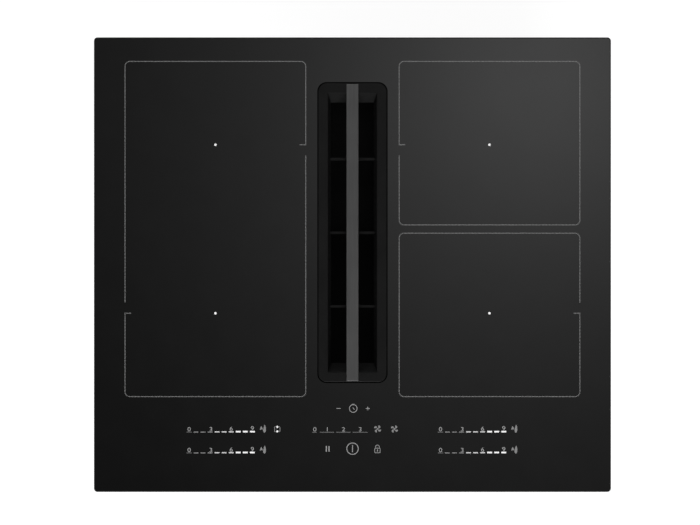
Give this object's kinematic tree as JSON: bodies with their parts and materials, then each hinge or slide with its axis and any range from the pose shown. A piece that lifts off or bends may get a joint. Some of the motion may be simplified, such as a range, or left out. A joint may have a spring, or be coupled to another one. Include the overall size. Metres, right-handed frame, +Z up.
{
  "type": "vented induction cooktop",
  "caption": "Black glass induction cooktop with front touch controls and a long central slot whose grille, filter cassette and blower draw fumes down and out through a rear duct.",
  "frame": {"origin": "centre of the glass outline, on the worktop surface that the seal rests on", "axes": "+X to the user's right, +Y to the rear, +Z up out of the worktop"},
  "size_m": [0.58, 0.51, 0.2219],
  "materials": {
    "black_glass": "polished glass ceramic, near black",
    "grille_black": "fine matte black moulding",
    "bar_metal": "satin grey anodised strip",
    "black_plastic": "matte black heat-resistant moulding",
    "seal_foam": "closed-cell foam gasket",
    "filter_mesh": "stretched mesh in a folded frame",
    "casing_steel": "galvanised sheet with fine spangle",
    "screw_steel": "zinc plated",
    "pale_plastic": "natural glass-filled moulding",
    "circuit_board": "green solder mask",
    "sink_aluminium": "plain mill finish",
    "fan_black": "matte black moulding",
    "terminal_grey": "light grey moulding",
    "terminal_cream": "cream moulding",
    "housing_grey": "dark grey ribbed moulding",
    "impeller_grey": "grey moulding",
    "motor_steel": "plated steel can",
    "tank_grey": "smoke grey moulding",
    "mica": "pressed mica sheet",
    "ferrite": "sintered ferrite",
    "sensor_white": "white sensor bead",
    "coil_winding": "enamelled stranded winding"
  },
  "bodies": {
    "hob": {"air_well": "black_plastic", "base_casing": "casing_steel", "blower_motor": "motor_steel", "cable_gland": "fan_black", "case_screws": "screw_steel", "coil_carrier_left_front": "sink_aluminium", "coil_carrier_left_rear": "sink_aluminium", "coil_carrier_right_front": "sink_aluminium", "coil_carrier_right_rear": "sink_aluminium", "coil_left_front": "coil_winding", "coil_left_rear": "coil_winding", "coil_posts": "pale_plastic", "coil_right_front": "coil_winding", "coil_right_rear": "coil_winding", "control_board": "circuit_board", "control_tray": "pale_plastic", "cooling_fan_frame_left": "fan_black", "cooling_fan_frame_right": "fan_black", "ferrites_left_front": "ferrite", "ferrites_left_rear": "ferrite", "ferrites_right_front": "ferrite", "ferrites_right_rear": "ferrite", "glass_plate": "black_glass", "heat_sink_left": "sink_aluminium", "heat_sink_right": "sink_aluminium", "housing_screws": "screw_steel", "lower_shell": "housing_grey", "mica_sheet_left_front": "mica", "mica_sheet_left_rear": "mica", "mica_sheet_right_front": "mica", "mica_sheet_right_rear": "mica", "motor_dampers": "seal_foam", "motor_plate": "casing_steel", "plenum_seal": "seal_foam", "plenum_shell": "housing_grey", "power_board_left": "circuit_board", "power_board_right": "circuit_board", "temperature_sensor_left_front": "sensor_white", "temperature_sensor_left_rear": "sensor_white", "temperature_sensor_right_front": "sensor_white", "temperature_sensor_right_rear": "sensor_white", "terminal_block": "terminal_cream", "terminal_box": "terminal_grey", "touch_springs": "screw_steel", "volute_housing": "housing_grey", "worktop_seal": "seal_foam"},
    "grille": {"inlet_grille": "grille_black", "centre_bar": "bar_metal", "bar_screws": "screw_steel"},
    "cassette": {"filter_cassette": "black_plastic", "grease_filter_left": "filter_mesh", "grease_filter_right": "filter_mesh"},
    "tank": {"overflow_tank": "tank_grey", "tank_seal": "seal_foam"},
    "blower_rotor": {"impeller": "impeller_grey", "motor_shaft": "screw_steel"},
    "fan_rotor_left": {"cooling_fan_rotor_left": "fan_black"},
    "fan_rotor_right": {"cooling_fan_rotor_right": "fan_black"},
    "terminal_lid": {"terminal_cover": "terminal_grey"}
  },
  "joints": [
    {"name": "grille_lift", "type": "slide", "parent": "hob", "child": "grille", "axis": [0, 0, 1], "range_m": [0, 0.25]},
    {"name": "cassette_lift", "type": "slide", "parent": "hob", "child": "cassette", "axis": [0, 0, 1], "range_m": [0, 0.14]},
    {"name": "tank_drop", "type": "slide", "parent": "hob", "child": "tank", "axis": [0, 0, -1], "range_m": [0, 0.09]},
    {"name": "impeller_spin", "type": "hinge", "parent": "hob", "child": "blower_rotor", "pos_m": [0.1445, 0.005, -0.2035], "axis": [0, 0, 1], "continuous": true},
    {"name": "cooling_fan_left_spin", "type": "hinge", "parent": "hob", "child": "fan_rotor_left", "pos_m": [-0.2, -0.192, -0.047], "axis": [0, 0, 1], "continuous": true},
    {"name": "cooling_fan_right_spin", "type": "hinge", "parent": "hob", "child": "fan_rotor_right", "pos_m": [0.2, -0.192, -0.047], "axis": [0, 0, 1], "continuous": true},
    {"name": "terminal_lid_hinge", "type": "hinge", "parent": "hob", "child": "terminal_lid", "pos_m": [-0.19, 0.154, -0.0805], "axis": [-1, 0, 0], "range_deg": [0, 95]}
  ],
  "couplings": [
    {"joint": "cassette_lift", "follows": "grille_lift", "ratio": 0.56}
  ]
}
